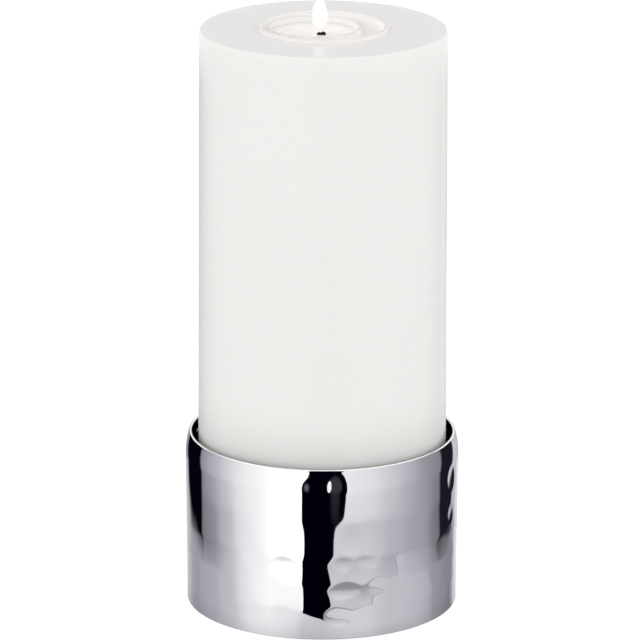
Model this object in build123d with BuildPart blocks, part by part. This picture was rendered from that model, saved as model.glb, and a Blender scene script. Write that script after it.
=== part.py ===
from build123d import *
import math
import os

# A hammered candle ring round a pillar candle, whose glass insert holds a tealight.
# Millimetres, +Z up, the origin at the middle of the foot.

# Ring: a hoop of sheet metal that goes round the candle, widest at its belly and curled in at the rim
ring_height = 70.7
ring_sheet = 1.2
ring_clearance = 2.1
ring_rim_draw = 1.55
ring_foot_draw = 0.55
ring_curl_height = 9.2
rim_round_share = 0.45
foot_round_share = 0.25

# Hammer marks: nearly flat ovals in staggered rows below the smooth curl, struck a little unevenly
mark_spacing = 11.0
mark_row_pitch = 11.0
mark_fill_shares = (0.96, 0.82, 0.90)
mark_row_turn_share = 0.44
mark_curl_gap = 4.0
mark_foot_band = 2.5

# Candle: a pillar with mould draft, open at the top for the insert
candle_height = 237.0
candle_foot_diameter = 100.7
candle_top_diameter = 98.4
candle_top_round = 0.9
candle_foot_round = 1.5

# Insert: a straight glass cup with a rounded rim that stands proud of the candle
insert_bore = 47.8
insert_wall = 1.7
insert_floor = 2.5
insert_proud = 1.5
insert_foot_round = 1.8
insert_bore_round = 1.0
pocket_clearance = 0.3
pocket_mouth_round = 0.4

# Tealight: it stands on the insert's floor, left of the middle
tealight_diameter = 37.0
tealight_foot_diameter = 36.0
tealight_height = 17.0
tealight_wall = 0.5
tealight_floor = 0.5
tealight_foot_round = 1.2
tealight_offset = 3.7
tealight_below_rim = 0.5

# Wax: its level below the cup's rim, the pool melted round the wick, and its shrinkage from the cup
wax_below_rim = 2.7
pool_diameter = 27.0
pool_depth = 0.8
wax_gap = 0.05

# Sustainer: a disc on the cup's floor with a neck crimped round the wick
sustainer_diameter = 12.5
sustainer_sheet = 0.3
neck_diameter = 2.6
neck_height = 3.2
sustainer_offset = 2.9

# Wick: a cotton cord whose charred tip has opened into two lobes, one a little lower
wick_diameter = 1.5
wick_above_pool = 1.8
wick_fit = 0.02
lobe_diameter = 1.7
lobe_spread = 1.9
lobe_step = 0.1

# One overrun serves every cut
overrun = 1.0

# Heights and radii that follow from these sizes
candle_foot_radius = candle_foot_diameter / 2
candle_top_radius = candle_top_diameter / 2
insert_bore_radius = insert_bore / 2
insert_radius = insert_bore_radius + insert_wall
insert_height = insert_floor + tealight_height + tealight_below_rim
insert_base_z = candle_height + insert_proud - insert_height
pocket_radius = insert_radius + pocket_clearance
tealight_base_z = insert_base_z + insert_floor
tealight_top_z = tealight_base_z + tealight_height
tealight_radius = tealight_diameter / 2
tealight_foot_radius = tealight_foot_diameter / 2
tealight_x = -tealight_offset
wick_x = tealight_x + sustainer_offset
wax_base_z = tealight_base_z + tealight_floor
wax_top_z = tealight_top_z - wax_below_rim
pool_z = wax_top_z - pool_depth
lobe_radius = lobe_diameter / 2
lobe_z = pool_z + wick_above_pool - lobe_radius

ring_rim_radius = candle_foot_radius + ring_clearance + ring_sheet
ring_belly_radius = ring_rim_radius + ring_rim_draw
ring_belly_height = ring_height - ring_curl_height
ring_foot_radius = ring_belly_radius - ring_foot_draw
ring_flare = math.degrees(math.atan(ring_foot_draw / ring_belly_height))
curl_radius = (ring_curl_height**2 + ring_rim_draw**2) / (2 * ring_rim_draw)


def curl_skin_radius(rise, inset=0):
    """The ring's radius at a rise above its belly, on its outer skin or on a parallel skin inset from it."""
    return ring_belly_radius - curl_radius + math.sqrt((curl_radius - inset) ** 2 - rise**2)


# Hammered ring
curl_mid_z = ring_belly_height + ring_curl_height / 2

with BuildPart() as hammered_ring:
    with BuildSketch(Plane.XZ) as ring_section:
        with BuildLine():
            foot_outside = (ring_foot_radius, 0)
            belly_outside = (ring_belly_radius, ring_belly_height)
            curl_outside = (curl_skin_radius(ring_curl_height / 2), curl_mid_z)
            rim_outside = (ring_rim_radius, ring_height)
            rim_inside = (curl_skin_radius(ring_curl_height, ring_sheet), ring_height)
            curl_inside = (curl_skin_radius(ring_curl_height / 2, ring_sheet), curl_mid_z)
            belly_inside = (ring_belly_radius - ring_sheet, ring_belly_height)
            foot_inside = (ring_foot_radius - ring_sheet, 0)
            Line(foot_outside, belly_outside)
            ThreePointArc(belly_outside, curl_outside, rim_outside)
            Line(rim_outside, rim_inside)
            ThreePointArc(rim_inside, curl_inside, belly_inside)
            Polyline(belly_inside, foot_inside, foot_outside)
        make_face()
        corners = ring_section.vertices().group_by(Axis.Y)
        fillet(corners[-1], ring_sheet * rim_round_share)
        fillet(corners[0], ring_sheet * foot_round_share)
    revolve(axis=Axis.Z)

marked_height = ring_belly_height - mark_foot_band - mark_curl_gap
mark_rows = max(1, round(marked_height / mark_row_pitch))
marks_per_row = max(6, round(2 * math.pi * ring_belly_radius / mark_spacing))
row_pitch = marked_height / mark_rows
mark_turn = 360 / marks_per_row
mark_half_width = math.pi * ring_foot_radius / marks_per_row


def mark_tool(fill_share):
    """One hammer mark as a tool: flat round the ring and dished up and down, with its dish at the origin."""
    reach = fill_share * mark_half_width
    depth = reach**2 / (2 * ring_belly_radius)
    half_height = fill_share * row_pitch / 2
    dish_radius = (half_height**2 + depth**2) / (2 * depth)
    tool_half = row_pitch / 2
    tool_out = dish_radius - math.sqrt(dish_radius**2 - tool_half**2)
    with BuildPart() as tool:
        with BuildSketch(Plane.YZ):
            with BuildLine():
                ThreePointArc((tool_out, -tool_half), (0, 0), (tool_out, tool_half))
                Polyline(
                    (tool_out, tool_half),
                    (tool_out + overrun, tool_half),
                    (tool_out + overrun, -tool_half),
                    (tool_out, -tool_half),
                )
            make_face()
        extrude(amount=mark_half_width, both=True)
    return tool.part, depth


def mark_location(row, column, depth):
    """Where a mark sits: on the skin, sunk by its depth, with the tool's Y pointing outwards."""
    z = mark_foot_band + row_pitch * (row + 1 / 2)
    angle = mark_turn * (column + mark_row_turn_share * row)
    radius = ring_foot_radius + ring_foot_draw * z / ring_belly_height - depth
    x = radius * math.cos(math.radians(angle))
    y = radius * math.sin(math.radians(angle))
    facing_out = Location((x, y, z)) * Location((0, 0, 0), (0, 0, angle - 90))
    return facing_out * Location((0, 0, 0), (-ring_flare, 0, 0))


with hammered_ring:
    for blow, fill_share in enumerate(mark_fill_shares):
        tool_part, mark_depth = mark_tool(fill_share)
        places = [
            mark_location(row, column, mark_depth)
            for row in range(mark_rows)
            for column in range(marks_per_row)
            if (row + 2 * column) % len(mark_fill_shares) == blow
        ]
        with Locations(*places):
            add(tool_part, mode=Mode.SUBTRACT)

# Candle body: the pocket's wall clears the insert all round, and the insert stands on its floor
with BuildPart() as candle_body:
    with BuildSketch(Plane.XZ):
        with BuildLine():
            Polyline(
                (0, 0),
                (candle_foot_radius, 0),
                (candle_top_radius, candle_height),
                (pocket_radius, candle_height),
                (pocket_radius, insert_base_z),
                (0, insert_base_z),
                close=True,
            )
        make_face()
    revolve(axis=Axis.Z)
    candle_circles = candle_body.edges().filter_by(GeomType.CIRCLE)
    fillet(candle_circles.sort_by(Axis.Z)[0], candle_foot_round)
    top_circles = candle_body.edges().filter_by(GeomType.CIRCLE).group_by(Axis.Z)[-1].sort_by(SortBy.RADIUS)
    fillet(top_circles[-1], candle_top_round)
    fillet(top_circles[0], pocket_mouth_round)

# Glass insert
insert_rim_radius = insert_wall / 2
insert_rim_z = insert_base_z + insert_height - insert_rim_radius

with BuildPart() as glass_insert:
    with BuildSketch(Plane.XZ):
        with BuildLine():
            Line((0, insert_base_z), (insert_radius, insert_base_z))
            Line((insert_radius, insert_base_z), (insert_radius, insert_rim_z))
            ThreePointArc(
                (insert_radius, insert_rim_z),
                (insert_radius - insert_rim_radius, insert_rim_z + insert_rim_radius),
                (insert_bore_radius, insert_rim_z),
            )
            Line((insert_bore_radius, insert_rim_z), (insert_bore_radius, tealight_base_z))
            Line((insert_bore_radius, tealight_base_z), (0, tealight_base_z))
            Line((0, tealight_base_z), (0, insert_base_z))
        make_face()
    revolve(axis=Axis.Z)
    insert_circles = glass_insert.edges().filter_by(GeomType.CIRCLE).group_by(Axis.Z)
    fillet(insert_circles[0], insert_foot_round)
    bore_circles = glass_insert.edges().filter_by(GeomType.CIRCLE).filter_by_position(
        Axis.Z, tealight_base_z, tealight_base_z
    )
    fillet(bore_circles, insert_bore_round)

# Tealight cup: a thin drafted cup
tealight_plane = Plane.XZ.shift_origin((tealight_x, 0, 0))
tealight_axis = Axis((tealight_x, 0, 0), (0, 0, 1))
cup_slope = (tealight_radius - tealight_foot_radius) / tealight_height


def cup_inner_radius(z):
    """The inner radius of the tealight's cup at height z."""
    return tealight_foot_radius + cup_slope * (z - tealight_base_z) - tealight_wall


with BuildPart() as tealight_cup:
    with BuildSketch(tealight_plane):
        with BuildLine():
            Polyline(
                (0, tealight_base_z),
                (tealight_foot_radius, tealight_base_z),
                (tealight_radius, tealight_top_z),
                (cup_inner_radius(tealight_top_z), tealight_top_z),
                (cup_inner_radius(wax_base_z), wax_base_z),
                (0, wax_base_z),
                close=True,
            )
        make_face()
    revolve(axis=tealight_axis)
    cup_circles = tealight_cup.edges().filter_by(GeomType.CIRCLE).group_by(Axis.Z)
    fillet(cup_circles[0], tealight_foot_round)

# Wick sustainer: disc and neck, with a bore that grips the wick
sustainer_plane = Plane.XZ.shift_origin((wick_x, 0, 0))
sustainer_axis = Axis((wick_x, 0, 0), (0, 0, 1))
wick_bore_radius = wick_diameter / 2 + wick_fit
disc_top_z = wax_base_z + sustainer_sheet
neck_top_z = disc_top_z + neck_height

with BuildPart() as wick_sustainer:
    with BuildSketch(sustainer_plane):
        with BuildLine():
            Polyline(
                (wick_bore_radius, wax_base_z),
                (sustainer_diameter / 2, wax_base_z),
                (sustainer_diameter / 2, disc_top_z),
                (neck_diameter / 2, disc_top_z),
                (neck_diameter / 2, neck_top_z),
                (wick_bore_radius, neck_top_z),
                close=True,
            )
        make_face()
    revolve(axis=sustainer_axis)

# Wick: a round cord from the cup's floor up, with two charred lobes at its tip
with BuildPart() as wick:
    with BuildSketch(Plane.XY.offset(wax_base_z)):
        with Locations((wick_x, 0)):
            Circle(wick_diameter / 2)
    extrude(amount=lobe_z + lobe_radius / 2 - wax_base_z)
    with Locations((wick_x - lobe_spread / 2, 0, lobe_z), (wick_x + lobe_spread / 2, 0, lobe_z - lobe_step)):
        Sphere(lobe_radius)

# Tealight wax: it fills the cup round the sustainer and the wick, with a pool melted in its top
wax_radius_top = cup_inner_radius(wax_top_z) - wax_gap
wax_radius_base = cup_inner_radius(wax_base_z) - wax_gap

with BuildPart() as tealight_wax:
    with BuildSketch(tealight_plane):
        with BuildLine():
            Polyline(
                (0, wax_base_z),
                (wax_radius_base, wax_base_z),
                (wax_radius_top, wax_top_z),
                (pool_diameter / 2, wax_top_z),
                (pool_diameter / 2 - pool_depth, pool_z),
                (0, pool_z),
                close=True,
            )
        make_face()
    revolve(axis=tealight_axis)
    with BuildSketch(sustainer_plane):
        with BuildLine():
            Polyline(
                (0, wax_base_z),
                (sustainer_diameter / 2 + wax_gap, wax_base_z),
                (sustainer_diameter / 2 + wax_gap, disc_top_z + wax_gap),
                (neck_diameter / 2 + wax_gap, disc_top_z + wax_gap),
                (neck_diameter / 2 + wax_gap, neck_top_z + wax_gap),
                (wick_bore_radius, neck_top_z + wax_gap),
                (wick_bore_radius, pool_z + overrun),
                (0, pool_z + overrun),
                close=True,
            )
        make_face()
    revolve(axis=sustainer_axis, mode=Mode.SUBTRACT)

# Names and files
pieces = {
    "hammered_ring": hammered_ring,
    "candle_body": candle_body,
    "glass_insert": glass_insert,
    "tealight_cup": tealight_cup,
    "tealight_wax": tealight_wax,
    "wick_sustainer": wick_sustainer,
    "wick": wick,
}
os.makedirs("parts", exist_ok=True)
for name, piece in pieces.items():
    piece.part.label = name
    export_step(piece.part, "parts/" + name + ".step")
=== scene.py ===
"""Looks of the hammered candle ring with its pillar candle, glass insert and tealight, in metres."""

import math

import bpy
import numpy as np
from mathutils import Matrix, Vector


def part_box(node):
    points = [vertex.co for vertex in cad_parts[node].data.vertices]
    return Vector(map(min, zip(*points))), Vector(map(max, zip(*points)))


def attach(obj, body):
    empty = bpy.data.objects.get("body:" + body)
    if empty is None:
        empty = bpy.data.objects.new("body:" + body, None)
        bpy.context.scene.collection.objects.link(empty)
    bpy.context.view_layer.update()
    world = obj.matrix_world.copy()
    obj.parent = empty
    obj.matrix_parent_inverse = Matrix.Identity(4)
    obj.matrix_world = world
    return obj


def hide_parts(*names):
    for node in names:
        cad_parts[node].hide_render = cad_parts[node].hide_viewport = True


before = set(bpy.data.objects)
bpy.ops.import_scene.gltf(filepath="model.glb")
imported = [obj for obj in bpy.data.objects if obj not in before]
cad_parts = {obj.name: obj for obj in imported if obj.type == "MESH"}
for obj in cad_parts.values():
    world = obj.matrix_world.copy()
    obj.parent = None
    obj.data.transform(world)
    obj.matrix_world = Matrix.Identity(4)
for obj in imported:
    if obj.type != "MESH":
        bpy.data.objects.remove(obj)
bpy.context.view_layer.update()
MM = 0.001


# Small helpers for colours and shader nodes
def linear(level):
    """The linear value of a display level from 0 to 255."""
    share = level / 255
    return share / 12.92 if share <= 0.04045 else ((share + 0.055) / 1.055) ** 2.4


def colour(red, green, blue):
    """A shader colour from display levels."""
    return (linear(red), linear(green), linear(blue), 1.0)


class Shader:
    """A node tree with one short call for each kind of node that the materials use."""

    def __init__(self, tree):
        self.tree = tree
        tree.nodes.clear()

    def node(self, kind, **settings):
        made = self.tree.nodes.new(kind)
        for name, value in settings.items():
            setattr(made, name, value)
        return made

    def set(self, socket, value):
        if isinstance(value, bpy.types.NodeSocket):
            self.tree.links.new(value, socket)
        else:
            socket.default_value = value

    def math(self, operation, first, second=0.0, third=0.0):
        made = self.node("ShaderNodeMath", operation=operation)
        for socket, value in zip(made.inputs, (first, second, third)):
            self.set(socket, value)
        return made.outputs[0]

    def smooth(self, value, low, high):
        """0 below low, 1 above high, and a soft step between them."""
        made = self.node("ShaderNodeMapRange", interpolation_type="SMOOTHSTEP")
        self.set(made.inputs["Value"], value)
        made.inputs["From Min"].default_value = low
        made.inputs["From Max"].default_value = high
        return made.outputs["Result"]

    def mix(self, share, first, second):
        """A mix of two colours."""
        made = self.node("ShaderNodeMix", data_type="RGBA")
        self.set(made.inputs["Factor"], share)
        self.set(made.inputs["A"], first)
        self.set(made.inputs["B"], second)
        return made.outputs["Result"]

    def times(self, tint, level):
        """A colour times a number."""
        made = self.node("ShaderNodeVectorMath", operation="SCALE")
        self.set(made.inputs[0], tint if isinstance(tint, bpy.types.NodeSocket) else tint[:3])
        self.set(made.inputs["Scale"], level)
        return made.outputs[0]

    def ramp(self, value, stops):
        """A colour ramp through (position, colour) stops."""
        made = self.node("ShaderNodeValToRGB")
        self.set(made.inputs["Fac"], value)
        elements = made.color_ramp.elements
        while len(elements) < len(stops):
            elements.new(0.5)
        for element, (place, tint) in zip(elements, stops):
            element.position = place
            element.color = tint
        return made.outputs["Color"]

    def axes(self, vector):
        made = self.node("ShaderNodeSeparateXYZ")
        self.set(made.inputs[0], vector)
        return made.outputs

    def place(self):
        """Where a point of the piece lies, in metres."""
        return self.node("ShaderNodeTexCoord").outputs["Object"]

    def noise(self, place, scale, detail):
        made = self.node("ShaderNodeTexNoise")
        self.set(made.inputs["Vector"], place)
        made.inputs["Scale"].default_value = scale
        made.inputs["Detail"].default_value = detail
        return made.outputs["Fac"]

    def bump(self, body, height, strength, distance):
        """Lets a pattern of heights dent a shader's surface."""
        made = self.node("ShaderNodeBump")
        made.inputs["Strength"].default_value = strength
        made.inputs["Distance"].default_value = distance
        self.set(made.inputs["Height"], height)
        self.set(body.inputs["Normal"], made.outputs[0])

    def span(self, x, y):
        """How far two coordinates lie from nought, taken together."""
        return self.math("SQRT", self.math("MULTIPLY_ADD", x, x, self.math("MULTIPLY", y, y)))

    def spot(self, x, z, centre, reach, soft):
        """1 inside an oval of the card's x and z, and 0 past soft times its reach."""
        across = self.math("DIVIDE", self.math("SUBTRACT", x, centre[0]), reach[0])
        along = self.math("DIVIDE", self.math("SUBTRACT", z, centre[1]), reach[1])
        return self.math("SUBTRACT", 1.0, self.smooth(self.span(across, along), 1.0, soft))

    def azimuth(self, x, y):
        """Where a direction or place lies round the ring, from 0 to 1, with 0.5 towards the viewer."""
        angle = self.math("ARCTAN2", x, self.math("MULTIPLY", y, -1.0))
        return self.math("MULTIPLY_ADD", angle, 1 / (2 * math.pi), 0.5)


def new_material(name):
    material = bpy.data.materials.new(name)
    material.use_nodes = True
    return material, Shader(material.node_tree)


def surface(shader, socket):
    output = shader.node("ShaderNodeOutputMaterial")
    shader.set(output.inputs["Surface"], socket)


def scatter(body, weight, radius, scale):
    """Lets light in under a waxy or milky surface."""
    body.inputs["Subsurface Weight"].default_value = weight
    body.inputs["Subsurface Radius"].default_value = radius
    body.inputs["Subsurface Scale"].default_value = scale


# Camera: the photograph's viewing angle, from a long way off with a long lens
camera_place = (-1.0 * MM, -2066.8 * MM, 738.65 * MM)
camera_pitch = math.radians(16.75)
camera_roll = math.radians(0.193)
camera_lens = 302.1


def make_camera():
    data = bpy.data.cameras.new("camera")
    data.sensor_width = 36.0
    data.lens = camera_lens
    data.clip_start = 0.05
    data.clip_end = 100.0
    camera = bpy.data.objects.new("camera", data)
    turn = Matrix.Rotation(math.pi / 2 - camera_pitch, 4, "X") @ Matrix.Rotation(camera_roll, 4, "Z")
    camera.matrix_world = Matrix.Translation(camera_place) @ turn
    bpy.context.scene.collection.objects.link(camera)
    bpy.context.scene.camera = camera


# Studio: a pale world that lights everything
WHITE = (1.0, 1.0, 1.0, 1.0)
lamp_horizon = 1.40
lamp_zenith = 0.64
lamp_horizon_stop = 0.55
sky_heights = (0.50, 0.75)
sky_strength = 1.25
sky_low_level = 185


def violet(level):
    """The metal's cool grey at a display level, which turns neutral towards white."""
    cool = min(1.0, (255 - level) / 75)
    return colour(level - 3, level - 3 - 2 * cool, level - 3 + 6 * cool)


def grey(strength):
    return (strength, strength, strength, 1.0)


def make_world():
    world = bpy.data.worlds.new("studio")
    bpy.context.scene.world = world
    world.use_nodes = True
    shader = Shader(world.node_tree)
    path = shader.node("ShaderNodeLightPath")
    place = shader.node("ShaderNodeTexCoord")
    x, y, z = shader.axes(place.outputs["Generated"])
    low = grey(lamp_horizon)
    stops = [(0.0, low), (lamp_horizon_stop, low), (1.0, grey(lamp_zenith))]
    lamp = shader.ramp(shader.math("MULTIPLY_ADD", z, 0.5, 0.5), stops)
    sky = shader.smooth(z, *sky_heights)
    mirrored = shader.mix(sky, violet(sky_low_level), grey(sky_strength))
    light = shader.mix(path.outputs["Is Glossy Ray"], lamp, mirrored)
    seen = shader.mix(path.outputs["Is Camera Ray"], light, WHITE)
    background = shader.node("ShaderNodeBackground")
    shader.set(background.inputs["Color"], seen)
    output = shader.node("ShaderNodeOutputWorld")
    shader.set(output.inputs["Surface"], background.outputs[0])


# Floor: pale, and white to the camera but for the object's shadow
floor_half = 6.0
floor_bounce_share = 0.8
floor_glow_share = 0.75
floor_shade_share = 0.38


def flat_mesh(name, corners):
    mesh = bpy.data.meshes.new(name)
    mesh.from_pydata([Vector(c) for c in corners], [], [tuple(range(len(corners)))])
    made = bpy.data.objects.new(name, mesh)
    bpy.context.scene.collection.objects.link(made)
    return made


def square(half_x, low_y, high_y, z):
    return [(-half_x, low_y, z), (half_x, low_y, z), (half_x, high_y, z), (-half_x, high_y, z)]


def make_floor():
    floor = flat_mesh("floor", square(floor_half, -floor_half, floor_half, 0.0))
    material, shader = new_material("floor")
    seen = shader.node("ShaderNodeLightPath").outputs["Is Camera Ray"]
    diffuse = shader.node("ShaderNodeBsdfDiffuse")
    tint = shader.mix(seen, grey(floor_bounce_share), grey(floor_shade_share))
    shader.set(diffuse.inputs["Color"], tint)
    glow = shader.node("ShaderNodeEmission")
    shader.set(glow.inputs["Strength"], shader.math("MULTIPLY", seen, floor_glow_share))
    both = shader.node("ShaderNodeAddShader")
    shader.set(both.inputs[0], diffuse.outputs[0])
    shader.set(both.inputs[1], glow.outputs[0])
    surface(shader, both.outputs[0])
    floor.data.materials.append(material)
    floor.visible_glossy = False


def glossy_only(piece):
    """Leaves a piece of the studio to mirrors alone."""
    piece.visible_camera = False
    piece.visible_diffuse = False
    piece.visible_shadow = False
    piece.visible_transmission = False


# Ring: its sizes are the solid's
ring_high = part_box("hammered_ring")[1]
ring_height = ring_high.z
ring_belly_radius = ring_high.x
ring_sheet = 1.2 * MM
ring_rim_draw = 1.55 * MM
ring_foot_draw = 0.55 * MM
ring_curl_height = 9.2 * MM
ring_belly_height = ring_height - ring_curl_height
ring_rim_radius = ring_belly_radius - ring_rim_draw
curl_radius = (ring_curl_height**2 + ring_rim_draw**2) / (2 * ring_rim_draw)
rim_round = 0.55 * MM
rim_steps = 7
foot_round = 0.3 * MM
foot_steps = 4
ring_columns = 720
ring_rows = 170


def ring_radius(height, inset=0.0):
    """The ring's radius at a height, or that of a skin parallel to it, inset from it."""
    if height < ring_belly_height:
        return ring_belly_radius - ring_foot_draw * (1 - height / ring_belly_height) - inset
    rise = height - ring_belly_height
    return ring_belly_radius - curl_radius + math.sqrt((curl_radius - inset) ** 2 - rise**2)


# The room that the metal mirrors: levels by the way its rays leave, in degrees from the viewer, towards +X
room_high_stops = (
    (-180, 178), (-158, 150), (-155, 8), (-123, 8), (-121, 138), (-117.6, 149), (-111, 163), (-105.6, 176),
    (-97.6, 187), (-90, 204), (-83, 215), (-74, 230), (-64, 241), (-54, 250), (-45, 255), (-14, 255),
    (4, 234), (24, 233), (41, 226), (60, 205), (81, 178), (93, 156), (105.5, 144), (117, 132),
    (120, 29), (143, 29), (146, 206), (180, 178),
)
room_low_stops = (
    (-180, 180), (-158, 150), (-155, 8), (-123, 8), (-121, 112), (-117.6, 122), (-111, 131), (-105.6, 142),
    (-97.6, 162), (-90, 178), (-83, 194), (-74, 220), (-64, 236), (-54, 248), (-45, 253), (-14, 253),
    (4, 203), (24, 196), (41, 198), (60, 180), (81, 166), (93, 161), (105.5, 144), (117, 114),
    (120, 29), (143, 29), (146, 196), (180, 180),
)
table_stops = (
    (-180, 212), (-162, 194), (-147, 164), (-136, 157), (-128, 165), (-105.6, 174), (-97.6, 185),
    (-90, 190), (-80, 199), (-69, 219), (-64, 228), (-54, 233), (-45, 234), (-24, 218), (-16, 200),
    (0, 198), (24, 212), (41, 208), (51, 199), (60, 194), (70, 193), (81, 190), (93, 186),
    (105.5, 172), (113, 155), (125, 146), (136, 138), (148, 131), (156, 184), (163, 222), (180, 212),
)
mirror_gain = 1.05

# A brighter stretch of the wall, with the share of a turn that each of its ends takes to fade
softbox_turns = (-54, -12)
softbox_fades = (0.08, 0.01)
softbox_strength = 1.15

# The wall round the ring, on which the room changes with height
wall_radius = 320 * MM
wall_low = -250 * MM
wall_high = 280 * MM
wall_columns = 96
room_deep_heights = (-108 * MM, -70 * MM)
room_deep_share = 0.50
room_low_heights = (-72 * MM, -20 * MM)
room_top_heights = (190 * MM, 270 * MM)
room_back_heights = (142 * MM, 156 * MM)
room_back_places = (60 * MM, 200 * MM)
room_back_level = 250

# The table top, in millimetres, and how it passes into the room beside the ring
table_outline = (
    (-128, 170), (-128, -66), (-118, -92), (-60, -106), (-23, -104), (-17, -78), (1, -74),
    (25, -78), (67, -88), (86, -83), (116, -78), (132, -60), (132, 170),
)
table_sides = (98 * MM, 129 * MM)
table_left = (0 * MM, -16 * MM)
table_left_turns = (-98, -70)
table_left_spans = (64 * MM, 104 * MM)
table_shade_reach = 14 * MM
table_shade_share = 0.86
table_lift = 0.2 * MM
table_rim_start = 10 * MM
table_rim_width = 1.4 * MM
table_rim_share = 0.72


def ray_turn(shader, x, y):
    """Which way, from 0 to 1, the ray left that the metal sent to a place: 0.5 is towards the viewer."""
    span = shader.span(x, y)
    turn = shader.math("SUBTRACT", shader.azimuth(x, y), 0.5)
    double = shader.math("MULTIPLY", span, 2.0)
    further = shader.math("DIVIDE", double, shader.math("SUBTRACT", double, ring_belly_radius))
    half = shader.math("MULTIPLY", shader.math("MULTIPLY", turn, further), math.pi)
    lean = shader.math("MULTIPLY", shader.math("SINE", half), ring_belly_radius)
    lean = shader.math("ARCSINE", shader.math("DIVIDE", lean, span))
    lean = shader.math("MULTIPLY", lean, 1 / (2 * math.pi))
    return shader.math("ADD", shader.math("ADD", turn, lean), 0.5)


def as_turns(angles):
    """Degrees from the viewer as turns from 0 to 1."""
    return [0.5 + angle / 360 for angle in angles]


def room_ramp(shader, turn, stops):
    angles, levels = zip(*stops)
    return shader.ramp(turn, list(zip(as_turns(angles), [violet(level) for level in levels])))


def glowing(shader, tint):
    glow = shader.node("ShaderNodeEmission")
    shader.set(glow.inputs["Color"], tint)
    glow.inputs["Strength"].default_value = mirror_gain
    surface(shader, glow.outputs[0])


def make_wall():
    angles = [2 * math.pi * k / wall_columns for k in range(wall_columns)]
    circle = [(wall_radius * math.cos(a), wall_radius * math.sin(a)) for a in angles]
    corners = [(x, y, wall_low) for x, y in circle] + [(x, y, wall_high) for x, y in circle]
    faces = []
    for k in range(wall_columns):
        after = (k + 1) % wall_columns
        faces.append((k, after, wall_columns + after, wall_columns + k))
    wall = smooth_mesh("room_wall", corners, faces)
    material, shader = new_material("room_wall")
    x, y, z = shader.axes(shader.place())
    turn = ray_turn(shader, x, y)
    tint = shader.mix(
        shader.smooth(z, *room_low_heights),
        room_ramp(shader, turn, room_low_stops),
        room_ramp(shader, turn, room_high_stops),
    )
    low_turn, high_turn = as_turns(softbox_turns)
    opening = shader.smooth(turn, low_turn, low_turn + softbox_fades[0])
    closing = shader.smooth(turn, high_turn + softbox_fades[1], high_turn)
    in_softbox = shader.math("MULTIPLY", opening, closing)
    strength = shader.math("MULTIPLY_ADD", in_softbox, softbox_strength - 1, 1.0)
    deep = shader.smooth(z, *room_deep_heights)
    deep_level = shader.math("MULTIPLY_ADD", deep, 1 - room_deep_share, room_deep_share)
    tint = shader.times(tint, shader.math("MULTIPLY", strength, deep_level))
    tint = shader.mix(shader.smooth(z, *room_top_heights), tint, violet(sky_low_level))
    high = shader.smooth(z, *room_back_heights)
    behind = shader.smooth(y, *room_back_places)
    tint = shader.mix(shader.math("MULTIPLY", high, behind), tint, violet(room_back_level))
    glowing(shader, tint)
    wall.data.materials.append(material)
    glossy_only(wall)


def make_table():
    """The table top, and below it the rim, a thin darker line along the right of its edge."""
    outline = [(x * MM, y * MM) for x, y in table_outline]
    top = []
    for x, y in outline:
        rimmed = y < 0 and x > table_rim_start
        top.append((x, y + (table_rim_width if rimmed else 0), 2 * table_lift))
    table_face("mirrored_table", top, 1.0)
    table_face("mirrored_table_rim", [(x, y, table_lift) for x, y in outline], table_rim_share)


def table_face(name, corners, share):
    """One face of the mirrored table, whose levels pass into the wall's beside the ring and at its left."""
    table = flat_mesh(name, corners)
    material, shader = new_material(name)
    x, y, z = shader.axes(shader.place())
    turn = ray_turn(shader, x, y)
    span = shader.span(x, y)
    in_front = shader.smooth(turn, *as_turns(table_left_turns))
    at_left = shader.math("MULTIPLY", in_front, shader.smooth(x, *table_left))
    at_left = shader.math("MULTIPLY", at_left, shader.smooth(span, *table_left_spans))
    beside = shader.math("MAXIMUM", at_left, shader.smooth(shader.math("ABSOLUTE", x), *table_sides))
    near = room_ramp(shader, turn, table_stops)
    tint = shader.mix(beside, near, room_ramp(shader, turn, room_low_stops))
    shade = shader.smooth(span, ring_belly_radius, ring_belly_radius + table_shade_reach)
    level = shader.math("MULTIPLY_ADD", shade, 1 - table_shade_share, table_shade_share)
    glowing(shader, shader.times(tint, shader.math("MULTIPLY", level, share)))
    table.data.materials.append(material)
    glossy_only(table)


# The dark card that stands in front of the table's edge, with a lamp and a dull patch painted on it
card_y = -300 * MM
card_outline = (
    (-82, -140), (14, -140), (15, -100), (20, -86), (33, -73), (41, -65), (47, -56), (53, -49), (66, -43),
    (84, -38.5), (96, -34), (102, -28), (103, 0), (100, 50), (92, 100), (78, 145), (70, 210), (70, 400),
    (-46, 400), (-50, 145), (-56, 100), (-76, 58), (-82, 20),
)
card_level = 5
card_lamp = (34 * MM, 28 * MM)
card_lamp_reach = (6 * MM, 38 * MM)
card_lamp_soft = 1.25
card_lamp_level = 246
card_halo = (52 * MM, 36 * MM)
card_halo_reach = (12 * MM, 42 * MM)
card_halo_soft = 2.2
card_halo_level = 56
card_patch = (-60 * MM, 22 * MM)
card_patch_reach = (2 * MM, 6 * MM)
card_patch_soft = 8.0
card_patch_level = 100


def make_card():
    card = flat_mesh("dark_card", [(x * MM, card_y, z * MM) for x, z in card_outline])
    material, shader = new_material("dark_card")
    x, y, z = shader.axes(shader.place())
    halo = shader.spot(x, z, card_halo, card_halo_reach, card_halo_soft)
    tint = shader.mix(halo, violet(card_level), violet(card_halo_level))
    patch = shader.spot(x, z, card_patch, card_patch_reach, card_patch_soft)
    tint = shader.mix(patch, tint, violet(card_patch_level))
    lamp = shader.spot(x, z, card_lamp, card_lamp_reach, card_lamp_soft)
    glowing(shader, shader.mix(lamp, tint, violet(card_lamp_level)))
    card.data.materials.append(material)
    glossy_only(card)


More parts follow.
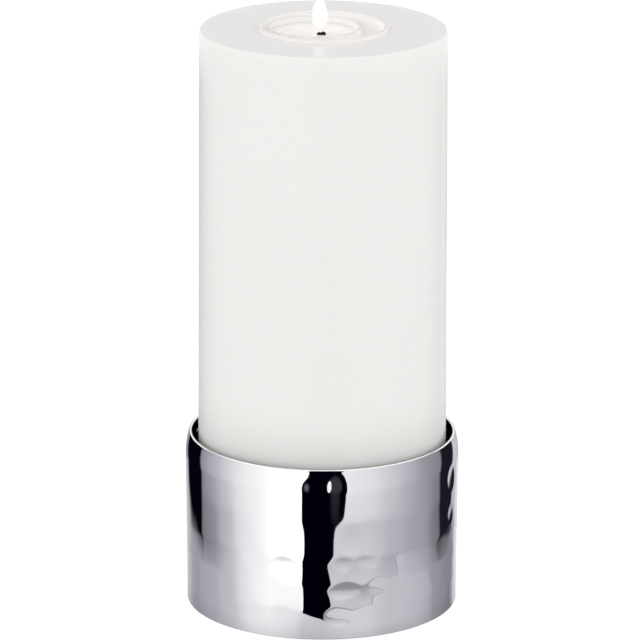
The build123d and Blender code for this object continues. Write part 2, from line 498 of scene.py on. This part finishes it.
# Turned pieces: a profile of (radius, height) points swept round an upright axis
def turned(name, profile, columns, centre=(0.0, 0.0), relief=None, closed=False):
    """A smooth mesh: a profile point on the axis becomes one pole, and the relief moves the others out."""
    angles = np.linspace(0, 2 * math.pi, columns, endpoint=False)
    rows = []
    vertices = []
    for radius, height in profile:
        if radius == 0:
            rows.append([len(vertices)] * columns)
            vertices.append((centre[0], centre[1], height))
            continue
        reach = np.full(columns, float(radius))
        if relief is not None:
            reach = reach + relief(angles, height)
        rows.append(list(range(len(vertices), len(vertices) + columns)))
        for angle, out in zip(angles, reach):
            vertices.append((centre[0] + out * math.cos(angle), centre[1] + out * math.sin(angle), height))
    faces = []
    pairs = list(zip(rows, rows[1:])) + ([(rows[-1], rows[0])] if closed else [])
    for low, high in pairs:
        for k in range(columns):
            after = (k + 1) % columns
            corners = [low[k], low[after], high[after], high[k]]
            faces.append(tuple(dict.fromkeys(corners)))
    return smooth_mesh(name, vertices, faces)


def smooth_mesh(name, vertices, faces):
    mesh = bpy.data.meshes.new(name)
    mesh.from_pydata(vertices, [], faces)
    mesh.polygons.foreach_set("use_smooth", [True] * len(mesh.polygons))
    made = bpy.data.objects.new(name, mesh)
    bpy.context.scene.collection.objects.link(made)
    return made


def arc(centre, radius, start, end, steps):
    """Profile points along an arc, with angles in degrees from the outward direction."""
    return [
        (centre[0] + radius * math.cos(math.radians(a)), centre[1] + radius * math.sin(math.radians(a)))
        for a in np.linspace(start, end, steps)
    ]


def finish_piece(piece, material, body, node):
    """Dresses a piece, and puts it on its body in place of its CAD node."""
    piece.data.materials.append(material)
    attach(piece, body)
    if node is not None:
        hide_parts(node)


# Hammer marks: shallow dishes in staggered rows, each a little off its place
mark_seed = 7
mark_spacing = 11.0 * MM
mark_half_width = 8.5 * MM
mark_depth = 0.18 * MM
mark_blend = 0.028 * MM
mark_shift = (0.22, 1.6 * MM)
mark_depth_spread_share = 0.30
mark_mean_share = 0.74
mark_side_share = 0.26
mark_side_turn = math.radians(-40)
mark_calm_turn = math.radians(-87)
mark_calm_width = math.radians(7)
mark_calm_share = 0.42
mark_size_spread_share = 0.12
mark_reach = 2.2
mark_depth_limit = 6 * mark_depth
relief_fade = 7 * MM
relief_foot_fade = 2.5 * MM

# Rows of blows from the foot up: (height, half height, share of the depth)
mark_rows = (
    (-4.0 * MM, 6.0 * MM, 0.5),
    (6.8 * MM, 6.2 * MM, 0.8),
    (17.7 * MM, 6.2 * MM, 1.0),
    (28.0 * MM, 6.2 * MM, 1.0),
    (41.0 * MM, 9.0 * MM, 0.8),
    (58.0 * MM, 9.5 * MM, 0.35),
    (76.0 * MM, 9.5 * MM, 0.3),
)

# Blows placed one by one: (degrees from the viewer, height, half width, half height, depth)
single_blows = (
    (-30.0, 31.5 * MM, 6.5 * MM, 4.4 * MM, 0.20 * MM),
    (-24.0, 20.5 * MM, 6.5 * MM, 4.4 * MM, 0.22 * MM),
    (-15.5, 31.0 * MM, 6.0 * MM, 4.2 * MM, 0.19 * MM),
    (-17.0, 9.5 * MM, 7.0 * MM, 4.2 * MM, 0.18 * MM),
    (7.6, 8.8 * MM, 7.0 * MM, 4.5 * MM, 0.32 * MM),
    (10.5, 20.0 * MM, 7.5 * MM, 4.6 * MM, 0.30 * MM),
    (24.0, 20.5 * MM, 6.0 * MM, 4.5 * MM, 0.24 * MM),
    (9.5, 31.0 * MM, 6.0 * MM, 4.4 * MM, 0.18 * MM),
    (19.0, 31.5 * MM, 6.5 * MM, 4.4 * MM, 0.20 * MM),
    (70.8, 56.0 * MM, 4.8 * MM, 5.8 * MM, 0.35 * MM),
    (71.0, 40.8 * MM, 4.7 * MM, 4.7 * MM, 0.33 * MM),
    (86.0, 48.5 * MM, 6.0 * MM, 5.2 * MM, 0.20 * MM),
    (97.0, 57.0 * MM, 6.0 * MM, 5.4 * MM, 0.20 * MM),
    (99.5, 41.0 * MM, 6.4 * MM, 4.8 * MM, 0.24 * MM),
    (112.0, 49.5 * MM, 6.2 * MM, 5.2 * MM, 0.20 * MM),
    (124.5, 56.5 * MM, 6.0 * MM, 5.4 * MM, 0.18 * MM),
    (127.0, 40.5 * MM, 6.2 * MM, 4.8 * MM, 0.20 * MM),
)

# Slow folds that run up the sheet: (waves round the ring, how far they stand out, where they start)
fold_waves = ((19, 0.020 * MM, 0.4), (29, 0.014 * MM, 2.1), (43, 0.007 * MM, 4.0))
fold_lean = 25


def turned_by(angle, start):
    """The turn from one angle to another, between minus and plus half a turn."""
    return (angle - start + math.pi) % (2 * math.pi) - math.pi


def hammer_marks():
    """(angle, height, half width, half height, depth) of every blow."""
    chance = np.random.default_rng(mark_seed)
    made = []
    count = round(2 * math.pi * ring_belly_radius / mark_spacing)
    for row, (middle, half_height, share) in enumerate(mark_rows):
        for column in range(count):
            shift = chance.uniform(-1, 1, 2) * mark_shift
            angle = 2 * math.pi * (column + 0.5 * (row % 2) + shift[0]) / count
            size = 1 + mark_size_spread_share * chance.uniform(-1, 1)
            depth = share * mark_depth * (1 + mark_depth_spread_share * chance.uniform(-1, 1))
            depth *= mark_mean_share + mark_side_share * math.cos(angle - mark_side_turn)
            calm = math.exp(-((turned_by(angle, mark_calm_turn) / mark_calm_width) ** 2))
            depth *= 1 - mark_calm_share * calm
            made.append((angle, middle + shift[1], mark_half_width * size, half_height * size, depth))
    for degrees, *blow in single_blows:
        made.append((math.radians(degrees - 90), *blow))
    return np.array(made)


marks = hammer_marks()


def ring_relief(angles, height):
    """How far the hammered skin stands out from the smooth one, at every angle and one height."""
    near = marks[np.abs(marks[:, 1] - height) < mark_reach * marks[:, 3]]
    across = turned_by(angles[:, None], near[None, :, 0]) * ring_belly_radius / near[None, :, 2]
    along = (height - near[None, :, 1]) / near[None, :, 3]
    dish = near[None, :, 4] * (1 - across**2 - along**2)
    dish = np.maximum(dish, -mark_depth_limit)
    deepest = mark_blend * np.log(np.exp(dish / mark_blend).sum(axis=1))
    lean = fold_lean * height
    folds = sum(size * np.sin(count * angles + phase + lean) for count, size, phase in fold_waves)
    return folds - deepest


def faded_relief(angles, height):
    """The relief, dying away into the smooth rim and foot."""
    up = min(1.0, max(0.0, (ring_height - height) / relief_fade))
    down = min(1.0, max(0.0, height / relief_foot_fade))
    return ring_relief(angles, height) * up * up * (3 - 2 * up) * down


def ring_profile():
    """Profile points from the foot up the outside, over the rim and down the inside."""
    top = ring_height - rim_round
    points = [(ring_radius(z), z) for z in np.linspace(foot_round, top, ring_rows)]
    points += arc((ring_radius(top) - rim_round, top), rim_round, 0, 90, rim_steps)[1:]
    points += arc((ring_radius(top, ring_sheet) + rim_round, top), rim_round, 90, 180, rim_steps)
    points += [(ring_radius(z, ring_sheet), z) for z in np.linspace(top, foot_round, ring_rows // 2)[1:]]
    foot_inside = (ring_radius(foot_round, ring_sheet) + foot_round, foot_round)
    foot_outside = (ring_radius(foot_round) - foot_round, foot_round)
    points += arc(foot_inside, foot_round, 180, 270, foot_steps)[1:]
    points += arc(foot_outside, foot_round, 270, 360, foot_steps)[:-1]
    return points


# Metal: bright outside, and within the rim a painted shade that makes it dark to the camera alone, where
# the camera looks into the gap by the candle
metal_tint = (0.95, 0.95, 0.96, 1.0)
metal_inside_painted_shade = (0.10, 0.10, 0.11, 1.0)
metal_painted_shade_spans = (ring_rim_radius - 0.6 * ring_sheet, ring_rim_radius - ring_sheet)
metal_haze_scale = 60.0
metal_haze = 0.03
metal_roughness = 0.01


def polished_metal():
    material, shader = new_material("polished_metal")
    place = shader.place()
    metal = shader.node("ShaderNodeBsdfPrincipled")
    metal.inputs["Metallic"].default_value = 1.0
    x, y, z = shader.axes(place)
    seen = shader.node("ShaderNodeLightPath").outputs["Is Camera Ray"]
    # Painted shade: within the rim the metal is dark to camera rays only, and stays bright metal to all
    # other light
    painted_shade = shader.math("MULTIPLY", shader.smooth(shader.span(x, y), *metal_painted_shade_spans), seen)
    shader.set(metal.inputs["Base Color"], shader.mix(painted_shade, metal_tint, metal_inside_painted_shade))
    haze = shader.noise(place, metal_haze_scale, 3.0)
    shader.set(metal.inputs["Roughness"], shader.math("MULTIPLY_ADD", haze, metal_haze, metal_roughness))
    surface(shader, metal.outputs[0])
    return material


def make_ring():
    ring = turned("hammered_skin", ring_profile(), ring_columns, relief=faded_relief, closed=True)
    finish_piece(ring, polished_metal(), "ring", "hammered_ring")


# Candle: a turned pillar, very slightly uneven, with the pocket that holds the insert
candle_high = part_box("candle_body")[1]
candle_height = candle_high.z
candle_foot_radius = candle_high.x
candle_draft = 1.15 * MM
candle_top_radius = candle_foot_radius - candle_draft
candle_top_round = 0.9 * MM
candle_foot_round = 1.5 * MM
candle_columns = 256
insert_low, insert_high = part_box("glass_insert")
insert_radius = insert_high.x
insert_base = insert_low.z
insert_top = insert_high.z
pocket_gap = 0.08 * MM
pocket_radius = insert_radius + pocket_gap
pocket_mouth_round = 0.2 * MM

# Slow waves of the pillar: (how far out, waves round it, turn for each metre up, where they start)
candle_waves = ((0.03 * MM, 2, 40, 0.0), (0.02 * MM, 3, -70, 1.3))

# Wax: painted shade makes its colour darker towards the foot, as the ring's shade darkens it
wax_tints = (colour(247, 245, 242), colour(249, 247, 245))
wax_painted_shade_tint = colour(211, 210, 208)
wax_painted_shade_heights = (50 * MM, 96 * MM)
wax_spread = (1.0, 0.9, 0.75)


def candle_relief(angles, height):
    """The waves that a cast and drawn pillar has, too low to catch the eye but for its sheen."""
    relief = 0.0
    for out, count, turn, start in candle_waves:
        relief = relief + out * np.sin(count * angles + turn * height + start)
    return relief


def candle_profile():
    slope = candle_draft / candle_height
    low = candle_foot_round
    high = candle_height - candle_top_round
    points = [(0.0, 0.0), (candle_foot_radius / 2, 0.0)]
    points += arc((candle_foot_radius - low, low), low, -90, 0, 6)
    points += [(candle_foot_radius - slope * z, z) for z in np.linspace(low, high, 60)[1:]]
    points += arc((candle_top_radius - candle_top_round, high), candle_top_round, 0, 90, 8)[1:]
    points += [(r, candle_height) for r in np.linspace(candle_top_radius, pocket_radius, 14)[1:-1]]
    mouth = pocket_radius + pocket_mouth_round
    points += arc((mouth, candle_height - pocket_mouth_round), pocket_mouth_round, 90, 180, 5)
    points += [(pocket_radius, insert_base), (pocket_radius / 2, insert_base), (0.0, insert_base)]
    return points


def candle_wax():
    material, shader = new_material("candle_wax")
    place = shader.place()
    x, y, z = shader.axes(place)
    body = shader.node("ShaderNodeBsdfPrincipled")
    tint = shader.mix(shader.noise(place, 18.0, 3.0), *wax_tints)
    # Painted shade: the wax's colour darkens below these heights, towards the foot inside the ring
    above_painted_shade = shader.smooth(z, *wax_painted_shade_heights)
    shader.set(body.inputs["Base Color"], shader.mix(above_painted_shade, wax_painted_shade_tint, tint))
    scatter(body, 0.35, wax_spread, 4 * MM)
    body.inputs["Specular IOR Level"].default_value = 0.15
    smear = shader.noise(place, 45.0, 3.0)
    shader.set(body.inputs["Roughness"], shader.math("MULTIPLY_ADD", smear, 0.08, 0.17))
    shader.bump(body, shader.noise(place, 900.0, 2.0), strength=0.03, distance=0.1 * MM)
    surface(shader, body.outputs[0])
    return material


def make_candle():
    pillar = turned("wax_pillar", candle_profile(), candle_columns, relief=candle_relief)
    finish_piece(pillar, candle_wax(), "candle", "candle_body")


# Insert: a blown glass cup with a fire-rounded rim
insert_wall = 1.7 * MM
insert_floor = 2.5 * MM
insert_foot_round = 1.8 * MM
insert_bore_round = 1.0 * MM
insert_columns = 192
# Painted glow: how far below the insert's top its painted glow ends
insert_painted_glow_gap = 0.2 * MM

# Milky glass and plastic, with a painted glow that stands in for the flame's light in them
glass_ior = 1.47
glass_spread = (1.0, 0.95, 0.9)
glass_painted_glow_tint = (1.0, 0.96, 0.93, 1.0)
glass_painted_glow_fade = 1.5 * MM


def insert_profile():
    bore = insert_radius - insert_wall
    rim = insert_wall / 2
    low = insert_base + insert_foot_round
    floor_top = insert_base + insert_floor
    points = [(0.0, insert_base), (insert_radius / 2, insert_base)]
    points += arc((insert_radius - insert_foot_round, low), insert_foot_round, -90, 0, 8)
    points += [(insert_radius, z) for z in np.linspace(low, insert_top - rim, 6)[1:-1]]
    points += arc((insert_radius - rim, insert_top - rim), rim, 0, 180, 14)
    high = floor_top + insert_bore_round
    points += [(bore, z) for z in np.linspace(insert_top - rim, high, 6)[1:-1]]
    points += arc((bore - insert_bore_round, high), insert_bore_round, 0, -90, 6)
    points += [(bore / 2, floor_top), (0.0, floor_top)]
    return points


def milky_glass(name, clear_share, tint, roughness, glow, painted_glow_top):
    """Glass or plastic with a little white in it, and a painted glow that stands in for the flame's light
    through it and fades out at its top.
    """
    material, shader = new_material(name)
    place = shader.place()
    body = shader.node("ShaderNodeBsdfPrincipled")
    body.inputs["Base Color"].default_value = tint
    body.inputs["Transmission Weight"].default_value = clear_share
    body.inputs["IOR"].default_value = glass_ior
    scatter(body, 0.5, glass_spread, 3 * MM)
    # Painted glow: emission that stands in for the flame's light in the glass, fading out towards the top
    body.inputs["Emission Color"].default_value = glass_painted_glow_tint
    x, y, z = shader.axes(place)
    painted_glow_share = shader.smooth(z, painted_glow_top, painted_glow_top - glass_painted_glow_fade)
    shader.set(body.inputs["Emission Strength"], shader.math("MULTIPLY", painted_glow_share, glow))
    smear = shader.noise(place, 70.0, 2.0)
    shader.set(body.inputs["Roughness"], shader.math("MULTIPLY_ADD", smear, 0.05, roughness))
    surface(shader, body.outputs[0])
    return material


def make_insert():
    cup = turned("insert_cup", insert_profile(), insert_columns)
    # The insert's glass, with a faint painted glow for the flame's light
    glass = milky_glass(
        "insert_glass",
        clear_share=0.2,
        tint=colour(253, 250, 248),
        roughness=0.12,
        glow=0.12,
        painted_glow_top=insert_top - insert_painted_glow_gap,
    )
    finish_piece(cup, glass, "insert", "glass_insert")


# Tealight: a thin cup, its wax with the melted pool, the wick on its sustainer, and the flame
cup_low, cup_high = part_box("tealight_cup")
tealight_x = (cup_low.x + cup_high.x) / 2
tealight_base = cup_low.z
tealight_top = cup_high.z
tealight_radius = (cup_high.x - cup_low.x) / 2
tealight_draft = 0.5 * MM
tealight_wall = 0.5 * MM
tealight_foot_round = 1.2 * MM
tealight_columns = 160
sustainer_low, sustainer_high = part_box("wick_sustainer")
wick_x = (sustainer_low.x + sustainer_high.x) / 2
wax_low, wax_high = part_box("tealight_wax")
wax_top = wax_high.z
wax_base = wax_low.z
wax_gap = 0.05 * MM
wax_edge_drop = 0.2 * MM
wax_edge_round = 0.25 * MM
wax_edge_flat = 0.6 * MM
wax_side_shares = (0.25, 0.5, 0.75, 0.96)
pool_radius = 13.5 * MM
pool_depth = 0.8 * MM
pool_top = wax_top - pool_depth
meniscus = 0.5 * MM
pool_inner_radius = 1.6 * MM

# Where the melted wax climbs at the wick: (radius, height above the pool)
wick_climb = ((1.0 * MM, 0.06 * MM), (0.8 * MM, 0.16 * MM), (0.0, 0.18 * MM))


def cup_radius(height, inset=0.0):
    share = (tealight_top - height) / (tealight_top - tealight_base)
    return tealight_radius - tealight_draft * share - inset


def make_tealight_cup():
    lip = tealight_wall / 2
    low = tealight_base + tealight_foot_round
    points = [(0.0, tealight_base), (cup_radius(tealight_base) / 2, tealight_base)]
    points += arc((cup_radius(tealight_base) - tealight_foot_round, low), tealight_foot_round, -90, 0, 7)
    points += [(cup_radius(z), z) for z in np.linspace(low, tealight_top - lip, 8)[1:-1]]
    points += arc((cup_radius(tealight_top) - lip, tealight_top - lip), lip, 0, 180, 7)
    points += [(cup_radius(z, tealight_wall), z) for z in np.linspace(tealight_top - lip, wax_base, 8)[1:]]
    points += [(cup_radius(wax_base, tealight_wall) / 2, wax_base), (0.0, wax_base)]
    cup = turned("clear_cup", points, tealight_columns, centre=(tealight_x, 0.0))
    # The cup's plastic, with a fainter painted glow for the flame's light
    plastic = milky_glass(
        "cup_plastic",
        clear_share=0.3,
        tint=colour(253, 251, 249),
        roughness=0.08,
        glow=0.06,
        painted_glow_top=tealight_top,
    )
    finish_piece(cup, plastic, "tealight", "tealight_cup")


def wax_profile():
    edge = cup_radius(wax_top, tealight_wall) - wax_gap
    low = cup_radius(wax_base, tealight_wall) - wax_gap
    points = [(0.0, wax_base), (low / 2, wax_base), (low, wax_base)]
    points += [(low + (edge - low) * s, wax_base + (wax_top - wax_base) * s) for s in wax_side_shares]
    points += [(edge, wax_top - wax_edge_drop), (edge - wax_edge_round, wax_top)]
    points += [(r, wax_top) for r in np.linspace(edge - wax_edge_flat, pool_radius + meniscus, 5)]
    for share in np.linspace(0, 1, 7)[1:]:
        height = pool_top + pool_depth * (0.5 + 0.5 * math.cos(math.pi * share))
        points.append((pool_radius + meniscus - 2 * meniscus * share, height))
    points += [(r, pool_top) for r in np.linspace(pool_radius - meniscus, pool_inner_radius, 10)[1:]]
    points += [(radius, pool_top + rise) for radius, rise in wick_climb]
    return points


def melted_wax():
    material, shader = new_material("tealight_wax")
    place = shader.place()
    body = shader.node("ShaderNodeBsdfPrincipled")
    cloud = shader.noise(place, 120.0, 2.0)
    shader.set(body.inputs["Base Color"], shader.mix(cloud, colour(249, 246, 243), colour(251, 248, 245)))
    scatter(body, 0.4, wax_spread, 3 * MM)
    x, y, z = shader.axes(place)
    set_wax = shader.smooth(z, pool_top, pool_top + pool_depth / 2)
    shader.set(body.inputs["Roughness"], shader.math("MULTIPLY_ADD", set_wax, 0.3, 0.05))
    surface(shader, body.outputs[0])
    return material


def make_tealight_wax():
    wax = turned("melted_wax", wax_profile(), tealight_columns, centre=(tealight_x, 0.0))
    finish_piece(wax, melted_wax(), "tealight", "tealight_wax")


# Wick: a cord that has opened into two charred lobes at its tip
wick_low, wick_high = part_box("wick")
strand_sides = 14
strand_offsets = ((-0.35, -0.35, -0.7, -1.1, -1.0), (0.30, 0.30, 0.5, 0.75, 0.45))
strand_radii = ((0.5, 0.5, 1.1, 1.0, 0.25), (0.5, 0.5, 1.25, 1.3, 0.3))
strand_tip_drops = (0.75 * MM, 0.50 * MM)
wick_still_depth = 1.0 * MM
wick_lobe_rise = 0.6 * MM
wick_char_reach = 0.2 * MM


def tube(points, radii, sides):
    """Vertices and faces of a tube round a path, closed at both ends."""
    vertices = []
    faces = []
    for index, (point, radius) in enumerate(zip(points, radii)):
        after = points[min(index + 1, len(points) - 1)]
        before = points[max(index - 1, 0)]
        along = (Vector(after) - Vector(before)).normalized()
        across = along.cross(Vector((0, 1, 0))).normalized()
        up = across.cross(along)
        for k in range(sides):
            angle = 2 * math.pi * k / sides
            vertices.append(Vector(point) + radius * (math.cos(angle) * across + math.sin(angle) * up))
    for ring in range(len(points) - 1):
        for k in range(sides):
            after = (k + 1) % sides
            low = ring * sides
            high = low + sides
            faces.append((low + k, high + k, high + after, low + after))
    faces.append(tuple(range(sides)))
    faces.append(tuple(reversed(range(len(vertices) - sides, len(vertices)))))
    return vertices, faces


def charred_cotton():
    material, shader = new_material("wick_cotton")
    place = shader.place()
    x, y, z = shader.axes(place)
    body = shader.node("ShaderNodeBsdfPrincipled")
    char = shader.smooth(z, pool_top - wick_char_reach, pool_top + wick_char_reach)
    shader.set(body.inputs["Base Color"], shader.mix(char, colour(225, 215, 195), colour(6, 5, 5)))
    body.inputs["Roughness"].default_value = 0.9
    shader.bump(body, shader.noise(place, 1500.0, 3.0), strength=0.6, distance=0.15 * MM)
    surface(shader, body.outputs[0])
    return material


def make_wick():
    """Two strands from the sustainer up, each with its own lobe above the melted wax."""
    vertices = []
    faces = []
    for offsets, radii, tip_drop in zip(strand_offsets, strand_radii, strand_tip_drops):
        tip = wick_high.z - tip_drop
        heights = (wick_low.z, pool_top - wick_still_depth, pool_top, pool_top + wick_lobe_rise, tip)
        path = [(wick_x + offset * MM, 0, height) for offset, height in zip(offsets, heights)]
        points, quads = tube(path, [radius * MM for radius in radii], strand_sides)
        start = len(vertices)
        vertices += points
        faces += [tuple(start + k for k in quad) for quad in quads]
    wick = smooth_mesh("cotton_wick", vertices, faces)
    subdivide = wick.modifiers.new("smooth", "SUBSURF")
    subdivide.levels = 2
    subdivide.render_levels = 2
    finish_piece(wick, charred_cotton(), "tealight", "wick")


# Sustainer: the CAD disc with its crimped neck, in pressed metal
sustainer_tints = ((0.62, 0.62, 0.63, 1.0), (0.74, 0.74, 0.75, 1.0))


def pressed_metal():
    material, shader = new_material("sustainer_metal")
    body = shader.node("ShaderNodeBsdfPrincipled")
    body.inputs["Metallic"].default_value = 1.0
    scratch = shader.noise(shader.place(), 400.0, 4.0)
    shader.set(body.inputs["Base Color"], shader.mix(scratch, *sustainer_tints))
    shader.set(body.inputs["Roughness"], shader.math("MULTIPLY_ADD", scratch, 0.2, 0.25))
    surface(shader, body.outputs[0])
    return material


def dress(node, material):
    """Gives a CAD node its material."""
    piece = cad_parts[node]
    piece.data.materials.clear()
    piece.data.materials.append(material)


# Flame: a slender drop of light, widest below its middle
flame_foot = candle_height + 0.6 * MM
flame_tip = candle_height + 12 * MM
flame_radius = 2.95 * MM
flame_shoulder_share = 0.42
flame_lower_power = 4.0
flame_upper_power = 2.0
flame_swell_power = 0.6
flame_rows = 28
flame_columns = 48
flame_x = wick_x - 0.7 * MM
flame_warm_height = 5 * MM
flame_tints = ((1.0, 0.94, 0.86, 1.0), (1.0, 0.98, 0.95, 1.0))
flame_strength = 1.25
flame_lamp_power = 0.002
flame_lamp_tint = (1.0, 0.95, 0.90)

# The flame's light that the glass insert carries round to the gap beside the tealight
gap_lamp_place = (19.3 * MM, 0.0, candle_height - 5 * MM)
gap_lamp_power = 0.0004


def flame_profile():
    points = [(0.0, flame_foot)]
    for share in (1 - np.cos(np.linspace(0, math.pi, flame_rows)))[1:-1] / 2:
        upper = share > flame_shoulder_share
        reach = 1 - flame_shoulder_share if upper else flame_shoulder_share
        power = flame_upper_power if upper else flame_lower_power
        swell = 1 - (abs(share - flame_shoulder_share) / reach) ** power
        height = flame_foot + (flame_tip - flame_foot) * share
        points.append((flame_radius * swell**flame_swell_power, height))
    points.append((0.0, flame_tip))
    return points


def make_flame():
    flame = turned("flame", flame_profile(), flame_columns, centre=(flame_x, 0.0))
    material, shader = new_material("flame")
    glow = shader.node("ShaderNodeEmission")
    x, y, z = shader.axes(shader.place())
    warm = shader.smooth(z, flame_foot, flame_foot + flame_warm_height)
    shader.set(glow.inputs["Color"], shader.mix(warm, *flame_tints))
    glow.inputs["Strength"].default_value = flame_strength
    surface(shader, glow.outputs[0])
    flame.visible_shadow = False
    finish_piece(flame, material, "tealight", None)


def small_lamp(name, place, power, body):
    """A point of the flame's light, which rides with a body and shows in no mirror."""
    light = bpy.data.lights.new(name, "POINT")
    light.energy = power
    light.color = flame_lamp_tint
    light.shadow_soft_size = flame_radius
    lamp = bpy.data.objects.new(name, light)
    lamp.location = place
    lamp.visible_glossy = False
    bpy.context.scene.collection.objects.link(lamp)
    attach(lamp, body)


make_camera()
make_world()
make_floor()
make_wall()
make_table()
make_card()
make_ring()
make_candle()
make_insert()
make_tealight_cup()
make_tealight_wax()
make_wick()
make_flame()
small_lamp("flame_light", (flame_x, 0.0, (flame_foot + flame_tip) / 2), flame_lamp_power, "tealight")
small_lamp("gap_light", gap_lamp_place, gap_lamp_power, "insert")
dress("wick_sustainer", pressed_metal())

bpy.context.scene.view_settings.view_transform = "Standard"
